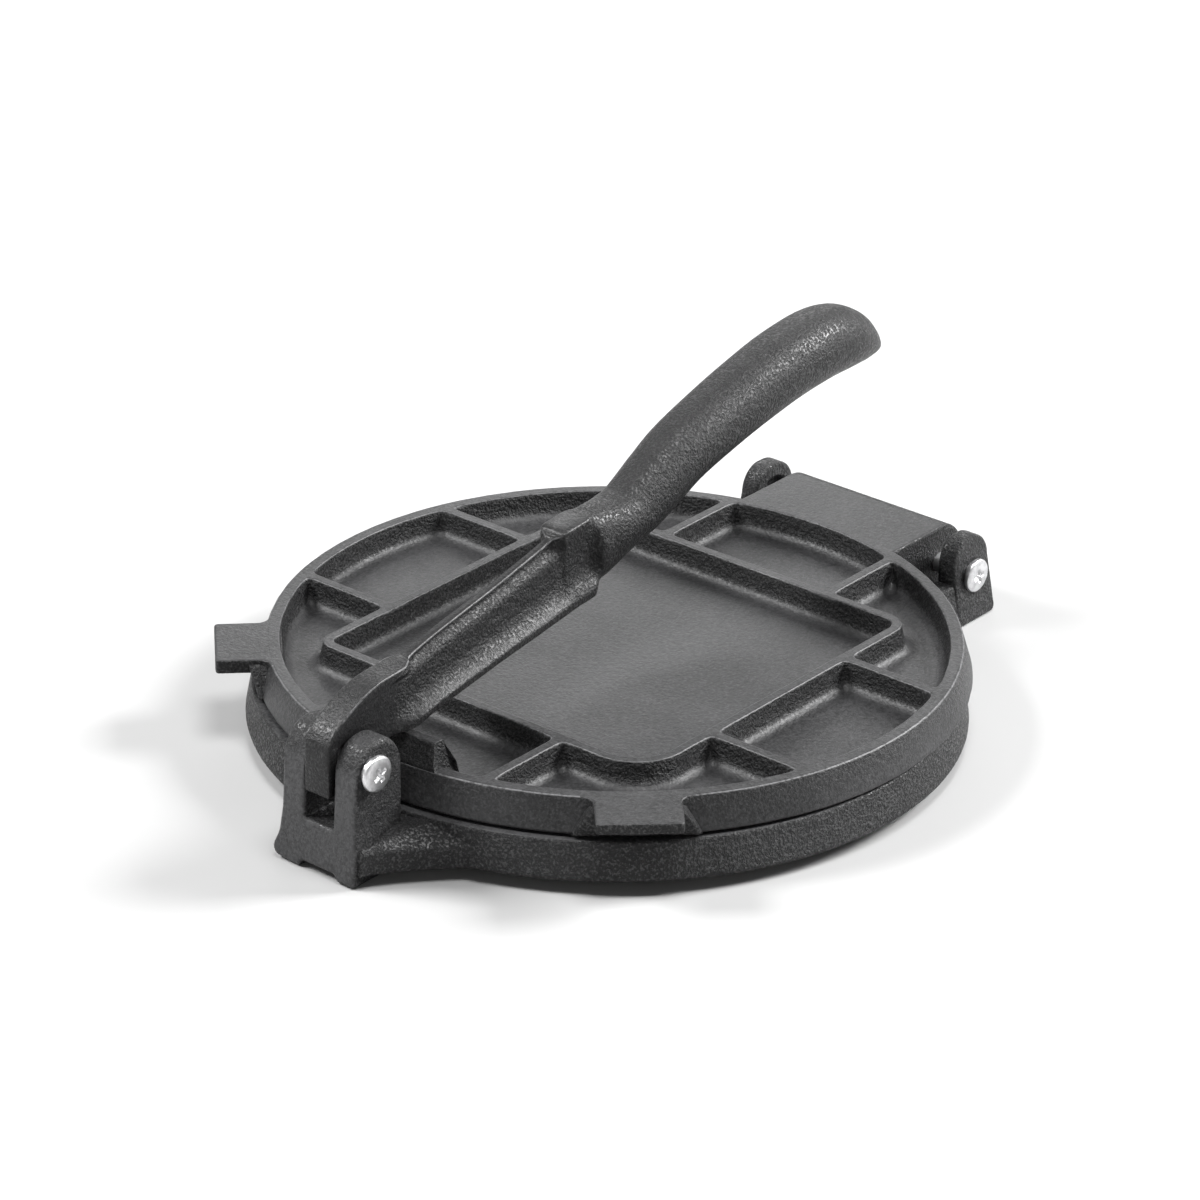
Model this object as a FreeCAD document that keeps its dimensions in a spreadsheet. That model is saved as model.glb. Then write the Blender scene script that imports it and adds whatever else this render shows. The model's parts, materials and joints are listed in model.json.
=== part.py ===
import FreeCAD, Part
import os
import Sketcher

# Tortilla press in cast iron, in millimetres. The bodies are drawn about the middle of the lower
# disc, and then set so that the origin is on the table, midway between the clevis's front and the
# hinge's rear. +Z is up, -Y points to the clevis of the handle, +Y to the hinge of the lid.

DIMENSIONS = {
    # lower disc, standing on the feet of the clevis and of the hinge lugs
    "foot_height": 3.5,
    "base_depth": 11.6,
    "base_top_radius": 100.6,
    "base_bottom_radius": 103.2,
    "base_wall": 6.0,
    "base_plate_thickness": 4.6,
    "base_edge_round": 1.2,
    # neck between the lower disc and the clevis
    "neck_front_half": 14.5,
    "neck_rear_half": 36.0,
    "neck_rear_reach": 97.0,
    "neck_root": 3.5,
    "neck_lip_height": 6.6,
    "neck_ramp_front_half": 13.2,
    "neck_ramp_rear_half": 19.0,
    "neck_ramp_reach": 98.6,
    # clevis
    "clevis_front": 121.3,
    "clevis_rear": 101.7,
    "clevis_half_width": 13.1,
    "clevis_top": 40.8,
    "clevis_round": 8.8,
    "clevis_slot_half": 5.15,
    "clevis_root_reach": 94.0,
    "arch_height": 1.9,
    "front_foot_inner": 7.0,
    "front_foot_length": 9.0,
    # handle pivot
    "handle_pivot_reach": 114.0,
    "handle_pivot_height": 33.0,
    "screw_radius": 3.0,
    "thread_clearance": 0.05,
    "running_clearance": 0.08,
    # hinge lugs
    "hinge_reach": 120.0,
    "hinge_height": 14.5,
    "lug_inner": 34.0,
    "lug_thickness": 6.0,
    "lug_front": 8.5,
    "lug_rear": 10.0,
    "lug_top": 26.5,
    "lug_round": 9.0,
    "lug_arm_top": 13.2,
    "lug_arm_root": 14.6,
    "lug_foot_front": 12.0,
    "lug_pocket_radius": 7.4,
    "lug_pocket_depth": 2.8,
    # lid disc
    "lid_shift": 3.0,
    "lid_gap": 0.7,
    "lid_depth": 10.2,
    "lid_bottom_radius": 101.6,
    "lid_lean": 3.2,
    "rim_width": 3.7,
    "rim_lean": 1.5,
    "lid_pocket_depth": 7.6,
    "press_face_inset": 4.6,
    "press_face_drop": 0.4,
    # ribs on the lid
    "wall_corner_inset": 15.97,
    "wall_side_trim": 0.35,
    "wall_thickness": 4.0,
    "wall_corner_round": 9.0,
    "rib_half_width": 2.0,
    "rib_place": 30.0,
    "rib_end_inset": 9.6,
    "draft_degrees": 8.0,
    # grip tabs on the lid
    "tab_degrees": 44.0,
    "tab_half_width": 11.2,
    "tab_length": 11.3,
    "tab_root": 6.1,
    "tab_thickness": 4.4,
    "tab_flare_top_half": 11.6,
    "tab_flare_bottom_half": 18.0,
    "tab_flare_length": 0.7,
    # lug on the lid that the handle presses
    "press_lug_half": 19.0,
    "press_lug_top_half": 17.0,
    "press_lug_height": 6.4,
    "press_lug_front": 3.6,
    "press_lug_front_top": 7.3,
    "press_lug_rear_top": 10.8,
    "press_lug_rear": 12.2,
    "press_lug_root": 4.0,
    # hinge block of the lid
    "block_half_width": 28.5,
    "block_radius": 12.0,
    "block_root": 11.6,
    "block_floor_lift": 0.9,
    # handle
    "tongue_half_width": 4.0,
    # screws
    "screw_head_radius": 5.85,
    "screw_head_height": 3.6,
    "screw_head_shoulder": 1.9,
    "screw_head_crown": 3.1,
    "screw_head_crown_radius": 4.6,
    "screw_head_flat_radius": 2.9,
    "recess_half_length": 3.1,
    "recess_half_width": 0.65,
    "recess_depth": 1.9,
}

# Side outline of the handle's tongue, from its lower front corner over the top. Each point is
# its distance in front of the middle and its height.
TONGUE = [
    (121.0, 25.0), (121.0, 36.2), (120.5, 39.0), (119.3, 41.1), (117.4, 42.9), (114.8, 44.7),
    (111.6, 46.6), (108.0, 48.4), (104.0, 49.8), (99.0, 50.7), (93.0, 51.2), (86.5, 51.9),
    (86.5, 33.6), (93.5, 33.2), (99.0, 30.6), (103.5, 27.2), (108.0, 25.3), (112.0, 25.0),
]

# Stations along the handle's arm. The heights follow the section from the underside to the
# ridge, and the halves are the half widths of the flange, the web and the ridge.
ARM_NAMES = ("reach", "low", "lip", "shoulder", "throat", "high", "half", "web", "neck", "ridge")
ARM = [
    (98.0, 34.0, 36.6, 40.0, 44.8, 50.8, 6.2, 4.6, 4.2, 4.0),
    (88.0, 35.2, 37.8, 41.2, 45.8, 51.8, 7.8, 4.4, 3.4, 2.4),
    (72.0, 38.2, 40.6, 44.5, 49.4, 55.6, 8.0, 4.1, 3.1, 1.8),
    (48.0, 42.0, 44.4, 48.7, 53.9, 60.6, 8.0, 4.0, 3.0, 1.5),
    (27.0, 45.0, 47.4, 52.3, 58.0, 65.2, 8.0, 3.9, 2.9, 1.3),
    (19.0, 46.2, 48.8, 54.1, 60.3, 68.2, 8.2, 5.0, 4.2, 3.6),
    (8.0, 47.8, 50.4, 55.4, 61.4, 69.0, 8.4, 6.6, 5.4, 4.0),
    (-4.0, 53.0, 55.4, 60.0, 65.4, 69.6, 6.0, 6.4, 5.4, 3.0),
]

# Stations along the grip: how far in front of the middle, how high, how steep in degrees, and
# the radius.
GRIP_NAMES = ("reach", "rise", "slope_degrees", "radius")
GRIP = [
    (8.5, 57.3, 42.0, 9.9),
    (-8.2, 62.3, 32.0, 9.5),
    (-30.6, 72.8, 22.0, 9.8),
    (-48.6, 78.2, 15.0, 10.2),
    (-76.2, 84.1, 8.0, 10.7),
    (-95.0, 85.5, 0.0, 10.8),
    (-108.5, 83.6, -12.0, 9.8),
    (-118.5, 80.4, -18.0, 6.8),
    (-123.2, 78.7, -20.0, 3.6),
]

LETTERS = "abcdefghijklmnopqrstuvwxyz"
for letter, (reach, rise) in zip(LETTERS, TONGUE):
    DIMENSIONS["tongue_%s_reach" % letter] = reach
    DIMENSIONS["tongue_%s_rise" % letter] = rise
for letter, station in zip(LETTERS, ARM):
    for name, number in zip(ARM_NAMES, station):
        DIMENSIONS["arm_%s_%s" % (letter, name)] = number
for letter, station in zip(LETTERS, GRIP):
    for name, number in zip(GRIP_NAMES, station):
        DIMENSIONS["grip_%s_%s" % (letter, name)] = number

# The square of ribs stands inside the lid's rim: its corners keep their distance from the edge.
FORMULAS = {"wall_reach": "=(lid_bottom_radius - wall_corner_inset) / sqrt(2)"}
DIMENSIONS["wall_reach"] = (
    DIMENSIONS["lid_bottom_radius"] - DIMENSIONS["wall_corner_inset"]) / 2 ** 0.5

document = FreeCAD.newDocument("TortillaPress")
sheet = document.addObject("Spreadsheet::Sheet", "Dims")
for row, (alias, number) in enumerate(DIMENSIONS.items(), 1):
    sheet.set("A%d" % row, alias)
    sheet.set("B%d" % row, FORMULAS.get(alias, repr(number)))
    sheet.setAlias("B%d" % row, alias)
document.recompute()


def signed_names(text):
    """Split a sum such as 'foot_height+base_depth' into signs and names."""
    spaced = text.replace("+", " +").replace("-", " -")
    return [(-1 if word.startswith("-") else 1, word.lstrip("+-")) for word in spaced.split()]


def amount(text):
    """Number that a sum of names stands for."""
    return sum(sign * (0 if name == "0" else DIMENSIONS[name]) for sign, name in signed_names(text))


def formula(text):
    """The same sum as an expression on the sheet."""
    parts = ["%s%s" % ("-" if sign < 0 else "+", name if name == "0" else "Dims." + name)
             for sign, name in signed_names(text)]
    return "".join(parts).lstrip("+")


def opposite(text):
    """The same sum with every sign turned."""
    return "".join("%s%s" % ("+" if sign < 0 else "-", name) for sign, name in signed_names(text))


def bind(thing, prop, text, suffix=""):
    """Tie a property to a sum of names on the sheet."""
    thing.setExpression(prop, formula(text) + suffix)


def new_body(label, reach="0", height="0"):
    """Body whose own origin is moved back to the middle of the whole press's length."""
    body = document.addObject("PartDesign::Body", label)
    body.Label = label
    middle = "(%s) / 2" % formula("clevis_front-hinge_reach-block_radius")
    body.setExpression(".Placement.Base.y", "%s + %s" % (middle, formula(reach)))
    body.setExpression(".Placement.Base.z", formula(height))
    return body


def new_sketch(body, role, name, lift=None, rise=None, turn=None, about=(0, 0, 1)):
    """Sketch on one of the body's origin planes, moved along the plane's normal and its V axis."""
    sketch = body.newObject("Sketcher::SketchObject", name)
    plane = [item for item in body.Origin.OriginFeatures if item.Role == role][0]
    sketch.AttachmentSupport = [(plane, "")]
    sketch.MapMode = "FlatFace"
    if turn:
        axis = FreeCAD.Vector(*about)
        sketch.AttachmentOffset = FreeCAD.Placement(
            FreeCAD.Vector(), FreeCAD.Rotation(axis, amount(turn)))
        bind(sketch, ".AttachmentOffset.Rotation.Angle", turn, " * 1 deg")
    if lift:
        bind(sketch, ".AttachmentOffset.Base.z", lift)
    if rise:
        bind(sketch, ".AttachmentOffset.Base.y", rise)
    return sketch


def draw_outline(sketch, corners):
    """Closed outline whose corners are pairs of sums of names."""
    points = [FreeCAD.Vector(amount(u), amount(v), 0) for u, v in corners]
    count = len(points)
    first = sketch.GeometryCount
    sketch.addGeometry([Part.LineSegment(points[i], points[(i + 1) % count]) for i in range(count)])
    for i in range(count):
        sketch.addConstraint(Sketcher.Constraint(
            "Coincident", first + i, 2, first + (i + 1) % count, 1))
    for i, (u, v) in enumerate(corners):
        for kind, text in (("DistanceX", u), ("DistanceY", v)):
            number = sketch.addConstraint(Sketcher.Constraint(
                kind, -1, 1, first + i, 1, amount(text)))
            if text != "0":
                bind(sketch, "Constraints[%d]" % number, text)
    return sketch


def draw_box(sketch, left, right, low, high):
    return draw_outline(sketch, [(left, low), (right, low), (right, high), (left, high)])


def draw_circle(sketch, u, v, radius):
    middle = FreeCAD.Vector(amount(u), amount(v), 0)
    item = sketch.addGeometry(Part.Circle(middle, FreeCAD.Vector(0, 0, 1), amount(radius)))
    for kind, text in (("DistanceX", u), ("DistanceY", v)):
        number = sketch.addConstraint(Sketcher.Constraint(kind, -1, 1, item, 3, amount(text)))
        if text != "0":
            bind(sketch, "Constraints[%d]" % number, text)
    number = sketch.addConstraint(Sketcher.Constraint("Radius", item, amount(radius)))
    bind(sketch, "Constraints[%d]" % number, radius)
    return sketch


def pad(body, name, sketch, length, symmetric=False, reverse=False, taper=None):
    feature = body.newObject("PartDesign::Pad", name)
    feature.Profile = sketch
    bind(feature, "Length", length)
    feature.Midplane = symmetric
    feature.Reversed = reverse
    if taper:
        feature.setExpression("TaperAngle", taper)
    return feature


def pocket(body, name, sketch, length=None, symmetric=False, reverse=False, taper=None):
    feature = body.newObject("PartDesign::Pocket", name)
    feature.Profile = sketch
    if length:
        bind(feature, "Length", length)
    else:
        feature.Type = "ThroughAll"
    feature.Midplane = symmetric
    feature.Reversed = reverse
    if taper:
        feature.setExpression("TaperAngle", taper)
    return feature


def revolve(body, name, sketch, axis="V_Axis"):
    feature = body.newObject("PartDesign::Revolution", name)
    feature.Profile = sketch
    feature.ReferenceAxis = (sketch, [axis])
    feature.Angle = 360
    return feature


def loft(body, name, sketches, ruled=True):
    feature = body.newObject("PartDesign::AdditiveLoft", name)
    feature.Profile = sketches[0]
    feature.Sections = sketches[1:]
    feature.Ruled = ruled
    return feature


def mirror(body, name, features, role="YZ_Plane"):
    feature = body.newObject("PartDesign::Mirrored", name)
    feature.Originals = features
    plane = [item for item in body.Origin.OriginFeatures if item.Role == role][0]
    feature.MirrorPlane = (plane, [""])
    body.Tip = feature
    return feature


def round_edges(body, name, base, radius, chosen):
    """Round the edges of the base whose bounding box passes the test."""
    document.recompute()
    names = ["Edge%d" % number for number, edge in enumerate(base.Shape.Edges, 1)
             if chosen(edge.BoundBox)]
    feature = body.newObject("PartDesign::Fillet", name)
    feature.Base = (base, names)
    bind(feature, "Radius", radius)
    return feature


def near(number, target, allowed=0.05):
    return abs(number - target) < allowed


def make_base_plate():
    """Lower casting: hollow disc, neck with the clevis in front, two hinge lugs at the rear."""
    body = new_body("base_plate")
    top = "foot_height+base_depth"
    section = draw_outline(new_sketch(body, "XZ_Plane", "DiscSection"), [
        ("0", top),
        ("base_top_radius", top),
        ("base_bottom_radius", "foot_height"),
        ("base_bottom_radius-base_wall", "foot_height"),
        ("base_top_radius-base_wall", top + "-base_plate_thickness"),
        ("0", top + "-base_plate_thickness"),
    ])
    disc = revolve(body, "Disc", section)
    round_edges(body, "DiscEdge", disc, "base_edge_round", lambda box: (
        near(box.ZMax, box.ZMin) and near(box.XMax, DIMENSIONS["base_bottom_radius"])))
    lip = draw_outline(new_sketch(body, "XY_Plane", "NeckPlan", "foot_height"), [
        ("-neck_front_half", "-clevis_front"),
        ("neck_front_half", "-clevis_front"),
        ("neck_rear_half", "-neck_rear_reach"),
        ("neck_rear_half", "-neck_rear_reach+neck_root"),
        ("-neck_rear_half", "-neck_rear_reach+neck_root"),
        ("-neck_rear_half", "-neck_rear_reach"),
    ])
    pad(body, "NeckLip", lip, "neck_lip_height")
    lower = draw_outline(new_sketch(body, "XY_Plane", "NeckRampLow", "foot_height+neck_lip_height"), [
        ("-neck_front_half", "-clevis_front"),
        ("neck_front_half", "-clevis_front"),
        ("neck_rear_half", "-neck_rear_reach"),
        ("-neck_rear_half", "-neck_rear_reach"),
    ])
    upper = draw_outline(new_sketch(body, "XY_Plane", "NeckRampHigh", top), [
        ("-neck_ramp_front_half", "-clevis_front"),
        ("neck_ramp_front_half", "-clevis_front"),
        ("neck_ramp_rear_half", "-neck_ramp_reach"),
        ("-neck_ramp_rear_half", "-neck_ramp_reach"),
    ])
    loft(body, "NeckRamp", [lower, upper])
    side = draw_outline(new_sketch(body, "YZ_Plane", "ClevisSide"), [
        ("-clevis_front", "arch_height"),
        ("-clevis_root_reach", "foot_height"),
        ("-clevis_root_reach", top + "-base_plate_thickness"),
        ("-clevis_rear", top),
        ("-clevis_rear", "clevis_top"),
        ("-clevis_front", "clevis_top"),
    ])
    block = pad(body, "ClevisBlock", side, "clevis_half_width+clevis_half_width", symmetric=True)
    round_edges(body, "ClevisTop", block, "clevis_round", lambda box: (
        near(box.ZMin, DIMENSIONS["clevis_top"]) and near(box.YMax, box.YMin)))
    slot = draw_box(new_sketch(body, "XZ_Plane", "SlotFront", "clevis_rear"),
                    "-clevis_slot_half", "clevis_slot_half", top, "clevis_top+clevis_round")
    pocket(body, "ClevisSlot", slot, symmetric=True)
    foot = draw_box(new_sketch(body, "XY_Plane", "FrontFootPlan"), "front_foot_inner",
                    "neck_front_half", "-clevis_front", "-clevis_front+front_foot_length")
    front_foot = pad(body, "FrontFoot", foot, "foot_height")
    mirror(body, "FrontFeet", [front_foot])
    add_hinge_lugs(body)
    for name, reach, height in (("HingeBore", "hinge_reach", "hinge_height"),
                                ("PivotBore", "-handle_pivot_reach", "handle_pivot_height")):
        circle = draw_circle(new_sketch(body, "YZ_Plane", name + "Face"), reach, height,
                             "screw_radius+thread_clearance")
        pocket(body, name, circle, symmetric=True)
    return body


def add_hinge_lugs(body):
    """Two lugs behind the lower disc, each with a foot and a round dish on its inner face."""
    for side, inner in (("Right", "lug_inner"), ("Left", "-lug_inner")):
        outline = draw_outline(new_sketch(body, "YZ_Plane", side + "LugSide", inner), [
            ("base_top_radius-lug_arm_root", "foot_height"),
            ("hinge_reach-lug_foot_front", "0"),
            ("hinge_reach+lug_rear", "0"),
            ("hinge_reach+lug_rear", "lug_top"),
            ("hinge_reach-lug_front", "lug_top"),
            ("hinge_reach-lug_front", "lug_arm_top"),
            ("base_top_radius-lug_arm_root", "lug_arm_top"),
        ])
        lug = pad(body, side + "Lug", outline, "lug_thickness", reverse=side == "Left")
    round_edges(body, "LugTops", lug, "lug_round", lambda box: (
        near(box.ZMin, DIMENSIONS["lug_top"]) and near(box.YMax, box.YMin)))
    for side, inner in (("Right", "lug_inner"), ("Left", "-lug_inner")):
        dish = draw_circle(new_sketch(body, "YZ_Plane", side + "DishFace", inner),
                           "hinge_reach", "hinge_height", "lug_pocket_radius")
        pocket(body, side + "Dish", dish, "lug_pocket_depth", reverse=side == "Right")


def make_top_plate():
    """Upper casting: lid disc with rim, square of ribs, two tabs, press lug and hinge block."""
    body = new_body("top_plate", "lid_shift")
    low = "foot_height+base_depth+lid_gap"
    high = low + "+lid_depth"
    face = low + "-press_face_drop"
    floor = high + "-lid_pocket_depth"
    rim = "lid_bottom_radius-lid_lean"
    section = draw_outline(new_sketch(body, "XZ_Plane", "LidSection"), [
        ("0", floor),
        (rim + "-rim_width-rim_lean", floor),
        (rim + "-rim_width", high),
        (rim, high),
        ("lid_bottom_radius", low),
        ("lid_bottom_radius-press_face_inset", low),
        ("lid_bottom_radius-press_face_inset", face),
        ("0", face),
    ])
    revolve(body, "LidDisc", section)
    wider = "Dims.draft_degrees * 1 deg"
    tighter = "-Dims.draft_degrees * 1 deg"
    side, end = "wall_reach-wall_side_trim", "wall_reach+wall_side_trim"
    outer = draw_box(new_sketch(body, "XY_Plane", "WallOuter", high), opposite(side), side,
                     opposite(end), end)
    wall = pad(body, "WallBlock", outer, "lid_pocket_depth", reverse=True, taper=wider)
    round_edges(body, "WallCorners", wall, "wall_corner_round", lambda box: (
        near(box.ZLength, DIMENSIONS["lid_pocket_depth"]) and near(box.XLength, box.YLength)))
    side, end = side + "-wall_thickness", end + "-wall_thickness"
    inner = draw_box(new_sketch(body, "XY_Plane", "WallInner", high), opposite(side), side,
                     opposite(end), end)
    pocket(body, "WallInside", inner, "lid_pocket_depth", taper=tighter)
    ribs = new_sketch(body, "XY_Plane", "RibPlan", high)
    for place in ("rib_place", "-rib_place"):
        low_edge, high_edge = place + "-rib_half_width", place + "+rib_half_width"
        tip = "lid_bottom_radius-rib_end_inset"
        draw_box(ribs, low_edge, high_edge, end, tip)
        draw_box(ribs, low_edge, high_edge, opposite(tip), opposite(end))
        draw_box(ribs, side, tip, low_edge, high_edge)
        draw_box(ribs, opposite(tip), opposite(side), low_edge, high_edge)
    pad(body, "Ribs", ribs, "lid_pocket_depth", reverse=True, taper=wider)
    for side, turn in (("Left", "-tab_degrees"), ("Right", "tab_degrees")):
        plan = new_sketch(body, "XY_Plane", side + "TabPlan", high, turn=turn)
        root = "-lid_bottom_radius+tab_root"
        draw_box(plan, "-tab_half_width", "tab_half_width", "-lid_bottom_radius-tab_length", root)
        pad(body, side + "Tab", plan, "tab_thickness", reverse=True)
        upper = new_sketch(body, "XY_Plane", side + "FlareHigh", high, turn=turn)
        draw_box(upper, "-tab_flare_top_half", "tab_flare_top_half",
                 "-lid_bottom_radius", root)
        lower = new_sketch(body, "XY_Plane", side + "FlareLow", low, turn=turn)
        draw_box(lower, "-tab_flare_bottom_half", "tab_flare_bottom_half",
                 "-lid_bottom_radius-tab_flare_length", root)
        loft(body, side + "TabFlare", [upper, lower])
    foot = draw_box(new_sketch(body, "XY_Plane", "PressLugFoot", high + "-press_lug_root"),
                    "-press_lug_half", "press_lug_half", "-lid_bottom_radius+press_lug_front",
                    "-lid_bottom_radius+press_lug_rear")
    crest = draw_box(new_sketch(body, "XY_Plane", "PressLugCrest", high + "+press_lug_height"),
                     "-press_lug_top_half", "press_lug_top_half",
                     "-lid_bottom_radius+press_lug_front_top",
                     "-lid_bottom_radius+press_lug_rear_top")
    loft(body, "PressLug", [foot, crest])
    slab = draw_outline(new_sketch(body, "YZ_Plane", "BlockSide"), [
        ("lid_bottom_radius-block_root", high),
        ("hinge_reach-lid_shift", high),
        ("hinge_reach-lid_shift", low + "+block_floor_lift"),
        ("lid_bottom_radius-block_root", low + "+block_floor_lift"),
    ])
    pad(body, "HingeSlab", slab, "block_half_width+block_half_width", symmetric=True)
    barrel = draw_circle(new_sketch(body, "YZ_Plane", "BarrelFace"), "hinge_reach-lid_shift",
                         "hinge_height", "block_radius")
    pad(body, "HingeBarrel", barrel, "block_half_width+block_half_width", symmetric=True)
    crown = draw_box(new_sketch(body, "XY_Plane", "BlockCrown", high), "-block_half_width",
                     "block_half_width", "lid_bottom_radius-block_root",
                     "hinge_reach+block_radius")
    pocket(body, "BlockTopFace", crown, "block_radius", reverse=True)
    bore = draw_circle(new_sketch(body, "YZ_Plane", "BlockBoreFace"), "hinge_reach-lid_shift",
                       "hinge_height", "screw_radius+running_clearance")
    pocket(body, "BlockBore", bore, symmetric=True)
    return body


def draw_arm_section(body, letter):
    """Section of the arm at one station: flange, shoulder, web and ridge."""
    heights = ["arm_%s_%s" % (letter, name) for name in ARM_NAMES[1:6]]
    flange, web, neck, ridge = ["arm_%s_%s" % (letter, name) for name in ARM_NAMES[6:]]
    widths = [flange, flange, web, neck, ridge]
    right = list(zip(widths, heights))
    left = [("-" + width, height) for width, height in reversed(right)]
    sketch = new_sketch(body, "XZ_Plane", "ArmSection" + letter.upper(), "arm_%s_reach" % letter)
    return draw_outline(sketch, right + left)


def draw_grip_section(body, letter):
    """Round section of the grip at one station, square to the grip's line."""
    reach, rise, slope, radius = ["grip_%s_%s" % (letter, name) for name in GRIP_NAMES]
    sketch = new_sketch(body, "XZ_Plane", "GripSection" + letter.upper(), reach, rise, slope,
                        (1, 0, 0))
    return draw_circle(sketch, "0", "0", radius)


def make_handle():
    """Handle casting: tongue in the clevis, arm with flange and ridge, round grip."""
    body = new_body("handle")
    side = draw_outline(new_sketch(body, "YZ_Plane", "TongueSide"), [
        ("-tongue_%s_reach" % letter, "tongue_%s_rise" % letter)
        for letter in LETTERS[:len(TONGUE)]])
    pad(body, "Tongue", side, "tongue_half_width+tongue_half_width", symmetric=True)
    loft(body, "Arm", [draw_arm_section(body, letter) for letter in LETTERS[:len(ARM)]])
    loft(body, "Grip", [draw_grip_section(body, letter) for letter in LETTERS[:len(GRIP)]],
         ruled=False)
    bore = draw_circle(new_sketch(body, "YZ_Plane", "TongueBoreFace"), "-handle_pivot_reach",
                       "handle_pivot_height", "screw_radius+running_clearance")
    pocket(body, "TongueBore", bore, symmetric=True)
    return body


def make_screw(label, seat, tail, reach, height):
    """Pan-head screw along X with a cross recess, its head on the +X side."""
    body = new_body(label, reach, height)
    profile = draw_outline(new_sketch(body, "XY_Plane", label + "_profile"), [
        (tail, "0"),
        (tail, "screw_radius"),
        (seat, "screw_radius"),
        (seat, "screw_head_radius"),
        (seat + "+screw_head_shoulder", "screw_head_radius"),
        (seat + "+screw_head_crown", "screw_head_crown_radius"),
        (seat + "+screw_head_height", "screw_head_flat_radius"),
        (seat + "+screw_head_height", "0"),
    ])
    revolve(body, label + "_turned", profile, "H_Axis")
    cross = new_sketch(body, "YZ_Plane", label + "_recess", seat + "+screw_head_height")
    arm, half = "recess_half_length", "recess_half_width"
    draw_outline(cross, [
        (arm, "-" + half), (arm, half), (half, half), (half, arm), ("-" + half, arm),
        ("-" + half, half), ("-" + arm, half), ("-" + arm, "-" + half), ("-" + half, "-" + half),
        ("-" + half, "-" + arm), (half, "-" + arm), (half, "-" + half),
    ])
    pocket(body, label + "_cross", cross, "recess_depth")
    return body


bodies = [
    make_base_plate(),
    make_top_plate(),
    make_handle(),
    make_screw("handle_pivot_screw", "clevis_half_width", "-clevis_half_width",
               "-handle_pivot_reach", "handle_pivot_height"),
    make_screw("hinge_screw", "lug_inner+lug_thickness", "-lug_inner-lug_thickness",
               "hinge_reach", "hinge_height"),
]
document.recompute()

for item in document.Objects:
    if "Invalid" in item.State or "Error" in item.State:
        raise RuntimeError("%s is %s" % (item.Label, item.State))
os.makedirs("parts", exist_ok=True)
for body in bodies:
    shape = body.Shape
    if shape.isNull() or not shape.isValid() or len(shape.Solids) != 1:
        raise RuntimeError("%s has no single valid solid" % body.Label)
    shape.exportStep("parts/%s.step" % body.Label)
    box = shape.BoundBox
    print("%-20s volume %9.0f  x %.1f %.1f  y %.1f %.1f  z %.1f %.1f" % (
        body.Label, shape.Volume, box.XMin, box.XMax, box.YMin, box.YMax, box.ZMin, box.ZMax))
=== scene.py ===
import json
import bmesh
import bpy
import numpy as np
from mathutils import Matrix, Vector


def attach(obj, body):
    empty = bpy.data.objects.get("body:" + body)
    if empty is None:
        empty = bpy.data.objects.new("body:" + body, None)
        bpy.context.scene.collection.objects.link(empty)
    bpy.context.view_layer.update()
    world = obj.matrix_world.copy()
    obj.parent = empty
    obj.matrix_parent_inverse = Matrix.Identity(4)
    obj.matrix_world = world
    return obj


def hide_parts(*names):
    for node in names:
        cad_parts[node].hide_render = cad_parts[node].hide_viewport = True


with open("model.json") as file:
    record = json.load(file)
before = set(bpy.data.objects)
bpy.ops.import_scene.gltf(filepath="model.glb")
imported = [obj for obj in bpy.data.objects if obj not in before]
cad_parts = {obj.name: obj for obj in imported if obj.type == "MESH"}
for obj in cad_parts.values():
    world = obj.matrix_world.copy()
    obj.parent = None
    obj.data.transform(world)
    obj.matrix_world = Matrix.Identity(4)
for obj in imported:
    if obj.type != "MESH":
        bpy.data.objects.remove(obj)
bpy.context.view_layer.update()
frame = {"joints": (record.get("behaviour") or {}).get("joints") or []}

# The picture's own things: a pale floor for the press to stand on, a white room round it, four
# large soft lamps, and the camera where the photographer stood, to the right of the clevis and
# 26 degrees above the table.
camera_turn, camera_rise, camera_roll = np.radians([39.375, 26.096, 0.857])
camera_reach = 1.321168
camera_aim = (-0.00569, 0.029399)
lens_pixels, frame_pixels = 4640.278, 1200
shift_pixels = (4.392, -1.774)
sensor_width = 36.0
aim_height = Vector((0, -0.00235, 0.0035))


def camera_axes(turn, rise, roll):
    """Right, up and back of a camera that looks at the origin from that turn and rise, rolled."""
    back = np.array([np.sin(turn) * np.cos(rise), -np.cos(turn) * np.cos(rise), np.sin(rise)])
    right = np.array([np.cos(turn), np.sin(turn), 0])
    up = np.cross(back, right)
    level = np.array([right, up])
    tilt = np.array([[np.cos(roll), np.sin(roll)], [-np.sin(roll), np.cos(roll)]])
    return level, tilt @ level, back


level_axes, picture_axes, back_axis = camera_axes(camera_turn, camera_rise, camera_roll)
camera = bpy.data.objects.new("camera", bpy.data.cameras.new("camera"))
bpy.context.scene.collection.objects.link(camera)
camera.matrix_world = Matrix([*picture_axes, back_axis]).transposed().to_4x4()
camera.location = Vector(camera_aim @ level_axes + back_axis * camera_reach) + aim_height
camera.data.sensor_width = sensor_width
camera.data.lens = lens_pixels / frame_pixels * sensor_width
camera.data.shift_x, camera.data.shift_y = np.array(shift_pixels) / frame_pixels
camera.data.clip_end = 50
bpy.context.scene.camera = camera

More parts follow.
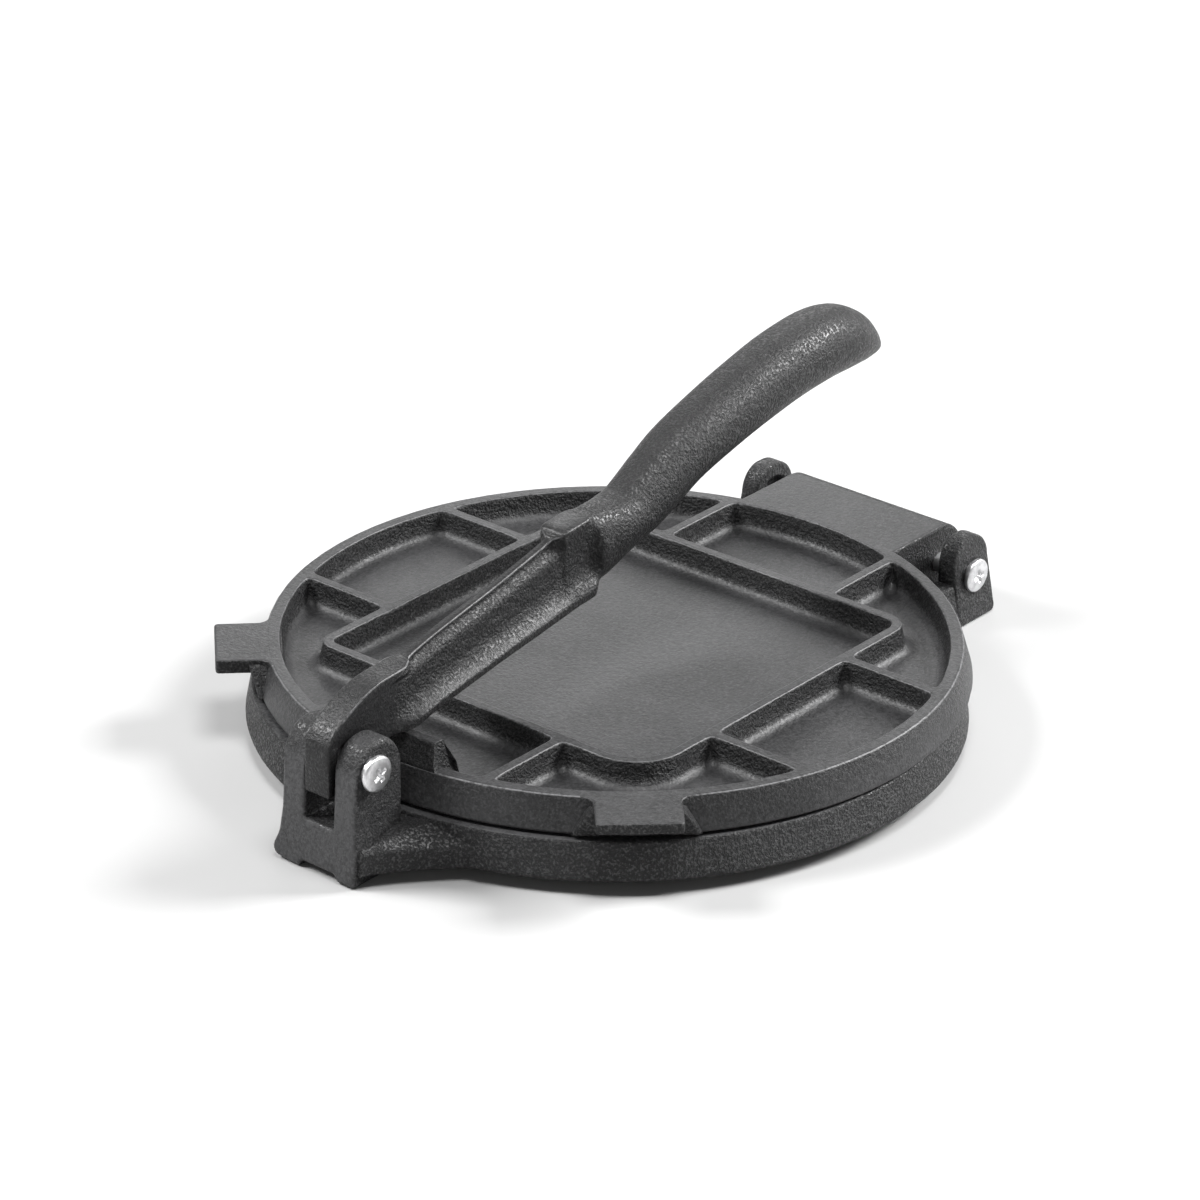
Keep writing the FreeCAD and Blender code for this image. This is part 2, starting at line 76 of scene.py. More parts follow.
floor_half, floor_drop = 3.0, 0.0002
floor_mesh = bpy.data.meshes.new("floor")
floor_mesh.from_pydata([(x * floor_half, y * floor_half, -floor_drop)
                        for x, y in ((-1, -1), (1, -1), (1, 1), (-1, 1))], [], [(0, 1, 2, 3)])
floor = bpy.data.objects.new("floor", floor_mesh)
bpy.context.scene.collection.objects.link(floor)
floor_paint = bpy.data.materials.new("pale_floor")
floor_paint.use_nodes = True
floor_shader = floor_paint.node_tree.nodes["Principled BSDF"]
floor_shader.inputs["Base Color"].default_value = (0.4, 0.4, 0.4, 1)
floor_shader.inputs["Roughness"].default_value = 0.9
floor_mesh.materials.append(floor_paint)


class Value:
    """A socket that takes part in sums. Each operator adds the Math node of its name."""

    def __init__(self, paint, socket):
        self.paint, self.socket = paint, socket

    def join(self, operation, first, second):
        node = self.paint.node("Math", {"operation": operation}, {0: first, 1: second})
        return Value(self.paint, node.outputs[0])

    def __add__(self, other):
        return self.join("ADD", self, other)

    def __sub__(self, other):
        return self.join("SUBTRACT", self, other)

    def __rsub__(self, other):
        return self.join("SUBTRACT", other, self)

    def __mul__(self, other):
        return self.join("MULTIPLY", self, other)

    __radd__, __rmul__ = __add__, __mul__

    def above(self, low, high):
        """0 below low, 1 above high, and a smooth step between."""
        settings = {"interpolation_type": "SMOOTHSTEP"}
        links = {"Value": self, "From Min": low, "From Max": high}
        node = self.paint.node("MapRange", settings, links)
        return Value(self.paint, node.outputs["Result"])


class Paint:
    """The nodes of a material or a room. Those it doesn't start with all come from node()."""

    def __init__(self, holder):
        holder.use_nodes = True
        self.tree = holder.node_tree

    def node(self, kind, settings=None, links=None):
        """New node: its settings first, then the value or link of each socket."""
        node = self.tree.nodes.new("ShaderNode" + kind)
        for key, setting in (settings or {}).items():
            setattr(node, key, setting)
        for key, given in (links or {}).items():
            self.plug(node.inputs[key], given)
        return node

    def plug(self, socket, given):
        if isinstance(given, Value):
            self.tree.links.new(given.socket, socket)
        else:
            socket.default_value = given


room = bpy.data.worlds.new("white_room")
room_paint = Paint(room)
room_place = Value(room_paint, room_paint.node("TexCoord").outputs["Generated"])
room_split = room_paint.node("SeparateXYZ", None, {"Vector": room_place})
room_height = Value(room_paint, room_split.outputs["Z"])
light_low, light_high = 0.56, 0.03
room_light = light_low - room_height.above(0.34, 0.66) * (light_low - light_high)
background = room_paint.tree.nodes["Background"]
room_paint.plug(background.inputs["Strength"], room_light)
room_paint.plug(background.inputs["Color"], (1, 1, 1, 1))
bpy.context.scene.world = room
bpy.context.scene.view_settings.view_transform = "Standard"


def soft_lamp(name, turn, rise, reach, size, watts):
    """Square lamp that hangs round the press at that turn and rise, and faces it."""
    lamp = bpy.data.lights.new(name, "AREA")
    lamp.shape, lamp.size, lamp.energy = "SQUARE", size, watts
    holder = bpy.data.objects.new(name, lamp)
    bpy.context.scene.collection.objects.link(holder)
    turn, rise = np.radians([turn, rise])
    way = Vector((np.sin(turn) * np.cos(rise), -np.cos(turn) * np.cos(rise), np.sin(rise)))
    holder.location = way * reach
    holder.rotation_euler = way.to_track_quat("Z", "Y").to_euler()


soft_lamp("left_lamp", -52, 46, 2.0, 0.6, 50)
soft_lamp("right_lamp", 144, 36, 2.0, 0.7, 76)
soft_lamp("top_lamp", 70, 78, 2.0, 0.7, 28)
soft_lamp("back_lamp", 219, 28, 2.0, 0.9, 8)

# The lower disc: a hollow iron casting, flat on top where the dough is pressed, its side leaning
# out a little towards the table. It was cast in sand, so it is black and grainy all over.
middle = -5.35
disc_low, disc_high = 3.5, 15.1
disc_top_radius, disc_foot_radius = 100.6, 102.8
disc_wall, disc_plate = 6.0, 4.6


class Finish(Paint):
    """A material, painted under its Principled shader."""

    def __init__(self, name):
        self.material = bpy.data.materials.new(name)
        super().__init__(self.material)
        self.shader = self.tree.nodes["Principled BSDF"]

    def noise(self, size, detail=3.0, roughness=0.6, shift=0.0):
        """Noise whose grains are about that many millimetres wide."""
        place = self.node("TexCoord").outputs["Object"]
        moved = self.node("Mapping", None, {"Vector": Value(self, place),
                                            "Location": (shift, -shift, shift)})
        node = self.node("TexNoise", None, {
            "Vector": Value(self, moved.outputs["Vector"]), "Scale": 1000 / size,
            "Detail": detail, "Roughness": roughness})
        return Value(self, node.outputs["Fac"])

    def mix(self, share, first, second):
        """Colour that goes from the first to the second as share goes from 0 to 1."""
        node = self.node("Mix", {"data_type": "RGBA"}, {0: share, 6: first, 7: second})
        return Value(self, node.outputs[2])

    def mark(self, name):
        """What the mesh's own attribute of that name holds."""
        return Value(self, self.node("Attribute", {"attribute_name": name}).outputs["Fac"])

    def finish(self, colour, roughness, height, depth, **fixed):
        """Plug in the colour, the roughness and a height in depth's metres, and fixed values."""
        bump = self.node("Bump", None, {"Height": height, "Distance": depth, "Strength": 1.0})
        self.plug(self.shader.inputs["Base Color"], colour)
        self.plug(self.shader.inputs["Roughness"], roughness)
        self.plug(self.shader.inputs["Normal"], Value(self, bump.outputs["Normal"]))
        for key, number in fixed.items():
            self.shader.inputs[key.replace("_", " ")].default_value = number
        return self.material


def sand_cast(name, pale, grit, grain, shift, dull=0.46):
    """Black sand-cast iron: grains that many millimetres across that shine like a coat on their
    tops, broad clouds of tone, smoother and paler metal where the mesh's mark is 1, which is
    ground metal in some places and a painted highlight in others, and pale streaks of bare metal
    where it is 2, which are a painted highlight along edges."""
    black, bright = (0.003, 0.003, 0.0033, 1), (0.12, 0.12, 0.123, 1)
    finish = Finish(name)
    ground = finish.mark("ground").above(0, 1)
    edge_highlight = finish.mark("ground").above(1, 2)
    sand = finish.noise(grain, 3, 0.6, shift)
    lumps = finish.noise(grain * 3.1, 2, 0.5, shift)
    clouds = finish.noise(38, 2, 0.5, shift)
    scratches = finish.noise(1.3, 3, 0.7, shift)
    glint = sand.above(0.5, 0.64) * (1 - ground * 0.8)
    height = ((sand - 0.5) * 0.8 + (lumps - 0.5) * 0.6) * (1 - ground * 0.86) + scratches * 0.2
    # Where marked the metal is paler: ground faces, and painted highlights on the lid's floors,
    # fillets and edges and on the handle's flange and edges.
    ground_and_highlight_tone = ground * (0.25 + clouds.above(0.38, 0.62) * 0.2 + scratches.above(0.38, 0.6) * 0.42)
    tone = clouds.above(0.3, 0.7) * 0.15 + ground_and_highlight_tone + sand.above(0.48, 0.66) * 0.28
    colour = finish.mix(tone, black, (pale, pale, pale * 1.03, 1))
    # Painted highlight: where the mark climbs past 1 the colour turns to pale streaks of bare
    # metal.
    colour = finish.mix(edge_highlight * scratches.above(0.3, 0.6), colour, bright)
    roughness = dull - ground * 0.06 + scratches * 0.1
    finish.plug(finish.shader.inputs["Coat Weight"], glint * 0.66)
    return finish.finish(colour, roughness, height, grit, Specular_IOR_Level=0.34,
                         Coat_Roughness=0.36)


def rounded(corners, radius, steps=6, hold=0.25, closed=True):
    """Outline whose corners are arcs. At each corner the arc starts radius / tan(half the angle)
    from it, and its points are the two ends' spokes mixed by the sine of the angle left. A held
    point just before and after each arc keeps the flat beside it flat."""
    corners = np.asarray(corners, float)
    radius = np.broadcast_to(np.asarray(radius, float), len(corners)).copy()
    if not closed:
        radius[[0, -1]] = 0
    radius = np.maximum(radius, 1e-4)[:, None]
    back, ahead = np.roll(corners, 1, 0) - corners, np.roll(corners, -1, 0) - corners
    lengths = np.linalg.norm(back, axis=1), np.linalg.norm(ahead, axis=1)
    back, ahead = back / lengths[0][:, None], ahead / lengths[1][:, None]
    half = np.arccos(np.clip((back * ahead).sum(1), -0.99999, 0.99999))[:, None] / 2
    reach = radius / np.tan(half)
    middle_way = (back + ahead) / np.linalg.norm(back + ahead, axis=1)[:, None]
    centre = corners + middle_way * radius / np.sin(half)
    spare = lengths[1] - reach[:, 0] - np.roll(reach[:, 0], -1)
    held_after = np.clip(spare * 0.3, 0, hold)[:, None]
    held_before = np.roll(held_after, 1, 0)
    first, last = corners + back * reach - centre, corners + ahead * reach - centre
    sweep = (np.pi - 2 * half)[:, None]
    share = np.linspace(0, 1, steps)[None, :, None]
    arc = (np.sin((1 - share) * sweep) * first[:, None] + np.sin(share * sweep) * last[:, None])
    arc = centre[:, None] + arc / np.sin(sweep)
    before = corners + back * (reach + held_before)
    after = corners + ahead * (reach + held_after)
    line = np.concatenate([before[:, None], arc, after[:, None]], 1)
    if closed:
        return line.reshape(-1, 2)
    return np.concatenate([corners[:1], line[1:-1].reshape(-1, 2), corners[-1:]])


def casting(name, points, body, finish, stands_for=(), wrap=(False, True), caps=True,
            ground=None):
    """Mesh over a grid of points in millimetres: point (i, j) joins (i+1, j), (i+1, j+1) and
    (i, j+1). Rows may close on themselves, and the first and last may be capped. Points that
    fall together are merged, and the faces are turned outwards."""
    rows, columns = points.shape[:2]
    index = np.arange(rows * columns).reshape(rows, columns)
    if wrap[0]:
        index = np.concatenate([index, index[:1]])
    if wrap[1]:
        index = np.concatenate([index, index[:, :1]], 1)
    quads = np.stack([index[:-1, :-1], index[1:, :-1], index[1:, 1:], index[:-1, 1:]], -1)
    faces = quads.reshape(-1, 4).tolist()
    if caps:
        faces += [index[0, :columns].tolist(), index[rows - 1, :columns].tolist()]
    mesh = bpy.data.meshes.new(name)
    mesh.from_pydata(points.reshape(-1, 3) / 1000, [], faces)
    mark = mesh.attributes.new("ground", "FLOAT", "POINT")
    level = np.zeros(rows * columns) if ground is None else np.broadcast_to(
        ground, (rows, columns)).reshape(-1)
    mark.data.foreach_set("value", level.astype(np.float32))
    shape = bmesh.new()
    shape.from_mesh(mesh)
    bmesh.ops.remove_doubles(shape, verts=shape.verts, dist=1e-6)
    bmesh.ops.dissolve_degenerate(shape, edges=shape.edges, dist=1e-7)
    bmesh.ops.recalc_face_normals(shape, faces=shape.faces)
    shape.to_mesh(mesh)
    shape.free()
    mesh.shade_smooth()
    mesh.materials.append(finish)
    piece = bpy.data.objects.new(name, mesh)
    bpy.context.scene.collection.objects.link(piece)
    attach(piece, body)
    if stands_for:
        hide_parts(*stands_for)


def turned(profile, turns=256):
    """Profile of (radius, height) carried round the vertical line through the disc's middle."""
    angle = np.linspace(0, 2 * np.pi, turns, endpoint=False)[:, None]
    x, y = profile[:, 0] * np.cos(angle), profile[:, 0] * np.sin(angle)
    return np.stack([x, y, np.broadcast_to(profile[:, 1], x.shape)], -1)


def mask(values, low, high):
    """Smooth step: 0 below low, 1 above high, 3t²-2t³ between."""
    share = np.clip((values - low) / (high - low), 0, 1)
    return share * share * (3 - 2 * share)


base_iron = sand_cast("base_iron", 0.056, 0.0011, 0.75, 0)
disc_profile = rounded([
    (0, disc_high),
    (disc_top_radius, disc_high),
    (disc_foot_radius, disc_low),
    (disc_foot_radius - disc_wall, disc_low),
    (disc_top_radius - disc_wall, disc_high - disc_plate),
    (0, disc_high - disc_plate),
], (0, 0.9, 1.2, 1.0, 3.0, 0), closed=False)
disc_points = turned(disc_profile) + (0, middle, 0)
casting("base_disc", disc_points, "base", base_iron, ["base_plate"],
        wrap=(True, False), caps=False,
        ground=mask(disc_points[..., 2], disc_high - 0.2, disc_high))

# The clevis, cast in one with the disc: two ears that stand up from a solid block at its front,
# one each side of the handle's tongue. Its face and the ears' crowns were ground smooth, and it
# stands on two small feet.
clevis_front, clevis_rear = -121.3, -101.7
ear_out, ear_in, ear_shoulder, ear_top, slot_floor = 13.1, 5.15, 27.0, 40.6, 15.1
foot_out, foot_left, foot_in, arch, lean = 13.3, 17.8, 7.0, 2.0, 2.0
ear_roundness, ear_rings = 2.5, 30


def block(corners, radius, low, high, edge=1.0, steps=6, rings=5):
    """Rounded outline carried from low to high along a third axis, with rounded end edges: at
    angle a its corners are drawn in by edge * (1 - sin a), at edge * (1 - cos a) from the end,
    and one more ring on each end keeps that face flat. Gives rows of (first, second, along)."""
    corners, radius = np.asarray(corners, float), np.asarray(radius, float)
    x, y = corners.T
    if (x * np.roll(y, -1) - y * np.roll(x, -1)).sum() < 0:
        corners, radius = corners[::-1], radius[::-1]
    back, ahead = np.roll(corners, 1, 0) - corners, np.roll(corners, -1, 0) - corners
    back /= np.linalg.norm(back, axis=1)[:, None]
    ahead /= np.linalg.norm(ahead, axis=1)[:, None]
    bend = ahead[:, 0] * back[:, 1] - ahead[:, 1] * back[:, 0]
    spoke = (back + ahead) / bend[:, None]
    angle = np.linspace(0, np.pi / 2, rings)
    draw_in = np.concatenate([[edge + 0.3], edge * (1 - np.sin(angle)), [0]])
    travel = np.concatenate([[0], edge * (1 - np.cos(angle)), [edge + 0.3]])
    outlines = [rounded(corners + spoke * d, np.maximum(radius + np.where(bend < 0, d, -d), 0.03),
                        steps) for d in draw_in]
    outlines = np.stack(outlines + outlines[::-1])
    along = np.concatenate([low + travel, high - travel[::-1]])
    along = np.broadcast_to(along[:, None, None], outlines.shape[:2] + (1,))
    return np.concatenate([outlines, along], 2)


def between_rows(rows, count):
    """The same rows with count more, evenly spread, across the longest gap in the middle."""
    half = len(rows) // 2
    share = np.linspace(0, 1, count + 2)[1:-1, None, None]
    return np.concatenate([rows[:half], rows[half - 1] * (1 - share) + rows[half] * share,
                           rows[half:]])


clevis_corners = [
    (-foot_left, 0.8), (-foot_in, 0), (-foot_in + 1.4, arch), (foot_in - 1.4, arch), (foot_in, 0),
    (foot_out, 0), (ear_out + 0.5, 10), (ear_out, slot_floor + 1), (ear_out, ear_top),
    (ear_in, ear_top), (ear_in, slot_floor), (-ear_in, slot_floor), (-ear_in, ear_top),
    (-ear_out, ear_top), (-ear_out - 0.2, slot_floor + 1), (-ear_out - 1.3, 8),
]
clevis_rounds = (2.6, 0.8, 1, 1, 0.8, 1.5, 9, 20, 1.8, 0.8, 0.8, 0.8, 0.8, 1.8, 20, 12)
clevis_rows = block(clevis_corners, clevis_rounds, clevis_front, clevis_rear, 1.1)
across, up, along = np.moveaxis(between_rows(clevis_rows, ear_rings), -1, 0)
depth_share = (along - clevis_front) / (clevis_rear - clevis_front)
from_middle = np.clip(np.abs(2 * depth_share - 1), 0, 1)
crown = ear_shoulder + (ear_top - ear_shoulder) * (
    1 - from_middle ** ear_roundness) ** (1 / ear_roundness)
ear_share = np.clip(up - slot_floor, 0, None) / (ear_top - slot_floor)
up = np.where(up > slot_floor, slot_floor + (crown - slot_floor) * ear_share, up)
leaned = along + (1 - depth_share) * lean * up / ear_top
clevis_points = np.stack([across, leaned + middle, up], -1)
casting("clevis", clevis_points, "base", base_iron,
        ground=0.8 * mask(-along, -clevis_front - 1.0, -clevis_front)
        + 0.4 * mask(up, crown - 1.5, crown))

# The neck: the web of the same casting that ties the clevis to the disc. It spreads from the
# width of the clevis to a third of the disc, and its top slopes up inwards from a low flange.
neck_low, neck_lip = 3.5, 10.1
neck_half, neck_spread, neck_rear = 14.4, 36.0, -93.5
ridge_half, ridge_spread = 13.4, 21.0
neck_start, neck_step, neck_sink = 1.6, 0.9, 0.1


def neck_rows(count=24):
    """Outlines across the neck from front to rear: the half widths and the height of the inner
    edge grow along it, the flange's by a curve that is hollow next to the clevis."""
    share = np.linspace(0, 1, count)[:, None]
    flare = share ** 1.25
    half = neck_half + (neck_spread - neck_half) * flare
    inner = ridge_half + (ridge_spread - ridge_half) * share
    low, lip = np.full_like(half, neck_low), np.full_like(half, neck_lip)
    first_crest, last_crest = neck_lip + neck_step, disc_high - neck_sink
    crest = first_crest + (last_crest - first_crest) * share
    x = np.concatenate([half, half, inner, -inner, -half, -half], 1)
    z = np.concatenate([low, lip, crest, crest, lip, low], 1)
    y = clevis_front + neck_start + (neck_rear - clevis_front - neck_start) * share
    rounds = (0.8, 1.1, 2.2, 2.2, 1.1, 0.8)
    rows = np.stack([rounded(np.stack(pair, 1), rounds) for pair in zip(x, z)])
    return np.stack([rows[..., 0], np.broadcast_to(y, rows.shape[:2]), rows[..., 1]], -1)


casting("neck", neck_rows() + (0, middle, 0), "base", base_iron)

# The two hinge lugs behind the disc, cast with it. Each is a plate with a round head, is tied to
# the disc by a low arm, spreads at its foot, and has a round dish on its inner face where the
# hinge screw comes through.
lug_inner, lug_outer = 34.0, 40.0
joint_places = {joint["name"]: np.array(joint["pos_m"]) * 1000 - (0, middle, 0)
                for joint in frame["joints"]}
hinge_y, hinge_z = joint_places["lid_hinge"][1:]
lug_head, lug_top, lug_rear, lug_front = 8.8, {1: 26.5, -1: 27.5}, {1: 8.1, -1: 9.9}, 8.2
foot_front, foot_rear, foot_flare = 8.6, 10.4, 3.3
dish_centre, dish_radius, dish_depth = (hinge_y + 0.5, hinge_z + 1), 8.2, 2.8
arm_front, arm_bend, arm_rear, arm_low, arm_top = 86, 108, hinge_y - 5, 4.0, 13.2
arm_corners = [(arm_front, arm_low), (arm_bend, 0), (arm_rear, 0), (arm_rear, arm_top),
               (arm_front, arm_top)]


def dished(rows, centre, radius, depth):
    """The same rows with a round dish in the last one's face: its points are carried on to a
    circle round the centre, then down a smooth step to a flat bottom."""
    angle = np.arctan2(rows[-1, :, 1] - centre[1], rows[-1, :, 0] - centre[0])
    way = np.stack([np.cos(angle), np.sin(angle)], 1)
    share = np.array([1.08, 1.02, 1, 0.97, 0.93, 0.89, 0.85, 0.82, 0.78, 0.5, 0])[:, None]
    sunk = depth * mask(1 - share, 0, 0.2)
    ring = np.asarray(centre) + way[None] * radius * share[..., None]
    along = np.broadcast_to(rows[-1, 0, 2] - sunk[..., None], ring.shape[:2] + (1,))
    return np.concatenate([rows, np.concatenate([ring, along], 2)])


def flared(across, up):
    """Across, with the outer face spreading towards the table by the cube of the share of the
    height that is left above."""
    outer = (across - lug_inner) / (lug_outer - lug_inner)
    return across + foot_flare * outer * np.clip(1 - up / lug_top[1], 0, 1) ** 3


for side, name in ((1, "right"), (-1, "left")):
    lug_corners = [(hinge_y - foot_front, 0.2), (hinge_y + foot_rear, 0),
                   (hinge_y + lug_rear[side], lug_top[side]),
                   (hinge_y - lug_front, lug_top[side])]
    lug_rows = block(lug_corners, (0.8, 2.4, lug_head, lug_head - 1.2), -lug_outer, -lug_inner,
                     0.9, 16)
    lug_rows = dished(lug_rows, dish_centre, dish_radius, dish_depth) * (1, 1, -1)
    arm_rows = block(arm_corners, (2, 3, 1, 1, 2), lug_inner + 0.1, lug_outer - 0.05, 0.9)
    for part, rows in (("lug", lug_rows), ("arm", arm_rows)):
        away, up, across = np.moveaxis(rows, -1, 0)
        points = np.stack([side * flared(across, up), away + middle, up], -1)
        casting("hinge_%s_%s" % (part, name), points, "base", base_iron)

# The lid: a disc cast with an upright rim, and on it a square of ribs with two ribs from each of
# its sides to the rim. The tops of rim and ribs were ground level and are smoother and paler.
lid_behind = 3.0
lid_shift = lid_behind + middle
lid_low, lid_high, lid_face = 15.8, 26.0, 15.4
lid_bottom_radius, lid_top_radius, rim_radius = 101.6, 98.4, 94.7
pocket_depth, rib_lean = 7.6, 1.6
square_half = np.array([58.2, 58.9])
square_rounds = {(1, 1): 6.0, (1, -1): 14.0, (-1, -1): 4.5, (-1, 1): 6.0}
rib_place, rib_half, inner_corner = 30.0, 1.45, 0.9


def corner_round(x, y):
    """Corner radius of the square of ribs in the quarter where each point lies."""
    return np.select([(x >= 0) & (y >= 0), (x >= 0) & (y < 0), (x < 0) & (y < 0)],
                     [square_rounds[1, 1], square_rounds[1, -1], square_rounds[-1, -1]],
                     square_rounds[-1, 1])


def from_ribs(x, y):
    """Distance from the nearest edge of a rib, the square or the rim, negative on top of it.
    Distances a are joined as -k ln(sum of exp(-a / k)), which rounds the corners between ribs."""
    turn = corner_round(x, y)
    over_x, over_y = np.abs(x) - square_half[0] + turn, np.abs(y) - square_half[1] + turn
    outside = np.hypot(np.maximum(over_x, 0), np.maximum(over_y, 0))
    square = np.abs(np.minimum(np.maximum(over_x, over_y), 0) + outside - turn) - rib_half
    beside_y = np.maximum(np.abs(np.abs(y) - rib_place) - rib_half, square_half[0] + 1 - np.abs(x))
    beside_x = np.maximum(np.abs(np.abs(x) - rib_place) - rib_half, square_half[1] + 1 - np.abs(y))
    rim = rim_radius - np.hypot(x, y)
    parts = np.stack([square, beside_x, beside_y, rim])
    least = parts.min(0)
    return least - inner_corner * np.log(np.exp((least - parts) / inner_corner).sum(0))


rib_slope = rounded([(-9, 0), (0, 0), (rib_lean, -pocket_depth), (40, -pocket_depth)],
                    (0, 0.5, 4.2, 0), steps=10, closed=False)
near_edge = np.array([-0.8, -0.5, -0.3, -0.1, 0.1, 0.3, 0.5, 0.7, 0.9, 1.2, 1.6, 2.2, 3.0, 4.0,
                      5.2])


def side_stations(half_low, half_high):
    """Places along one side of the square: close together beside the two ribs, else apart."""
    edges = [sign * rib_place + way * (rib_half + near_edge) for sign in (-1, 1) for way in (-1, 1)]
    wide = np.linspace(-half_low, half_high, 15)
    wide = wide[np.abs(np.abs(wide) - rib_place) > rib_half + near_edge[-1] + 0.5]
    places = np.sort(np.concatenate([*edges, wide]))
    return places[(places >= -half_low) & (places <= half_high)]


def square_loop(offset, fan=14):
    """Loop that lies that far outside the square's centre line: four sides, each with its
    stations, and four corner arcs. Also tells which points belong to the sides."""
    hx, hy = square_half + offset
    r = square_rounds
    turns = [r[1, 1], r[-1, 1], r[-1, -1], r[1, -1]]
    sides = [((1, 0), hx, hy, r[1, -1], r[1, 1]), ((0, 1), hy, hx, r[1, 1], r[-1, 1]),
             ((-1, 0), hx, hy, r[-1, 1], r[-1, -1]), ((0, -1), hy, hx, r[-1, -1], r[1, -1])]
    points, on_side = [], []
    for (out, reach, half, turn_low, turn_high), own in zip(sides, turns):
        out = np.array(out, float)
        along = np.array([-out[1], out[0]])
        places = side_stations(half - offset - turn_low, half - offset - turn_high)
        low, high = np.maximum([turn_low + offset, turn_high + offset], 1.2)
        places = np.clip(places, low - half, half - high)
        points.append(out * reach + along * places[:, None])
        turn = np.linspace(0, np.pi / 2, fan + 2)[1:-1, None]
        centre = out * (reach - high) + along * (half - high)
        points.append(centre + high * (out * np.cos(turn) + along * np.sin(turn)))
        on_side += [np.ones(len(places), bool), np.zeros(fan, bool)]
    return np.concatenate(points), np.concatenate(on_side)


def rim_loop(radius):
    """Loop at one radius: a side's point goes straight out to the circle, keeping its place along
    the side, and a corner's points fan evenly between the two sides' last and first points."""
    points, on_side = square_loop(0)
    flat = np.abs(np.abs(points) - square_half) < 1e-6
    keep = np.where(flat[:, ::-1], points, 0)
    reach = np.sqrt(np.maximum(radius ** 2 - (keep ** 2).sum(1), 0))[:, None]
    straight = keep + np.where(flat, np.sign(points), 0) * reach
    angle = np.unwrap(np.arctan2(straight[:, 1], straight[:, 0])[on_side])
    number = np.arange(len(points))
    known = np.append(number[on_side], number[on_side][0] + len(points))
    angle = np.interp(number, known, np.append(angle, angle[0] + 2 * np.pi))
    return radius * np.stack([np.cos(angle), np.sin(angle)], 1)


def lid_grid():
    """The whole lid as one grid of closed loops: from the middle out over the square of ribs and
    the rim, down the side, and back to the middle underneath."""
    inward = (rib_half + near_edge)[::-1]
    inner = square_loop(-inward[0])[0]
    loops = [inner * s for s in (0, 0.25, 0.55, 0.8, 0.93)]
    loops += [square_loop(-d)[0] for d in inward] + [square_loop(0)[0]]
    loops += [square_loop(d)[0] for d in inward[::-1]]
    outer, first = loops[-1], rim_loop(rim_radius - near_edge[-1])
    loops += [outer * (1 - s) + first * s for s in (0.2, 0.4, 0.6, 0.8)]
    loops += [rim_loop(rim_radius - d) for d in near_edge[::-1]]
    top = np.stack(loops)
    height = lid_high + np.interp(from_ribs(top[..., 0], top[..., 1]), *rib_slope.T)
    side = rounded([(rim_radius + 1.5, lid_high), (lid_top_radius, lid_high),
                    (lid_bottom_radius, lid_low), (lid_bottom_radius - 4.6, lid_low),
                    (lid_bottom_radius - 5.0, lid_face), (0, lid_face)],
                   (0, 0.9, 0.8, 0.2, 0.3, 0), closed=False)
    under = np.stack([rim_loop(radius) for radius in side[:, 0]])
    level = np.concatenate([height, np.broadcast_to(side[:, 1:], under.shape[:2])])
    plan = np.concatenate([top, under])
    return np.concatenate([plan, level[..., None]], 2)


lid_iron = sand_cast("lid_iron", 0.036, 0.0010, 0.75, 3)
lid_points = lid_grid()
lid_floor, lid_up = lid_high - pocket_depth, lid_points[..., 2]
ground_tops = mask(lid_up, lid_high - 0.35, lid_high)
# Painted sheen: the pockets' floors and the fillets at the ribs' feet are marked paler and
# smoother, which paints a bright band along the fillets.
floor_and_fillet_sheen = 0.9 * mask(-lid_up, -lid_floor - 2.6, -lid_floor - 1.0)
smooth_flank = 0.5 * (lid_up < lid_high - 0.2) * (
    np.hypot(lid_points[..., 0], lid_points[..., 1]) > lid_top_radius)
# Painted highlight: a thin pale streak of bare metal along the top edges of the rim and the ribs,
# made by raising the mark towards 2.
lid_edge_highlight = (mask(lid_up, lid_high - 0.5, lid_high - 0.25)
              * mask(-lid_up, 0.02 - lid_high, 0.1 - lid_high))
lid_ground_and_highlight = np.maximum.reduce([ground_tops, floor_and_fillet_sheen, smooth_flank])
lid_ground_and_highlight += (2 - lid_ground_and_highlight) * lid_edge_highlight
casting("lid_disc", lid_points + (0, lid_shift, 0), "lid", lid_iron,
        ["top_plate"], caps=False, ground=lid_ground_and_highlight)

# Two flat tabs cast on the lid's rim, one each side of the clevis, for lifting the lid. Their tops
# run level with the rim, and a gusset under each tab spreads down to the lid's edge.
tab_turns = {1: 42.9, -1: 45.2}
tab_half, tab_reach, tab_thick = 11.8, 112.9, {1: 3.2, -1: 4.2}
tab_root, tab_neck, tab_spread = 95.4, 98.6, 8
gusset_half, gusset_top, gusset_reach = 17.5, 105.5, 102.6
gusset_root, gusset_bow, gusset_inset = 94, 1 / 205, 1
gusset_high, gusset_low = lid_high - 0.6, lid_low + 0.3


def turn_about_lid(points, degrees):
    """Points whose first axis is across and second away from the lid's middle, turned so that
    they lie that many degrees to the right of the clevis."""
    a = np.radians(degrees)
    x, y = points[..., 0], -points[..., 1]
    return np.stack([x * np.cos(a) - y * np.sin(a), x * np.sin(a) + y * np.cos(a) + lid_shift,
                     points[..., 2]], -1)


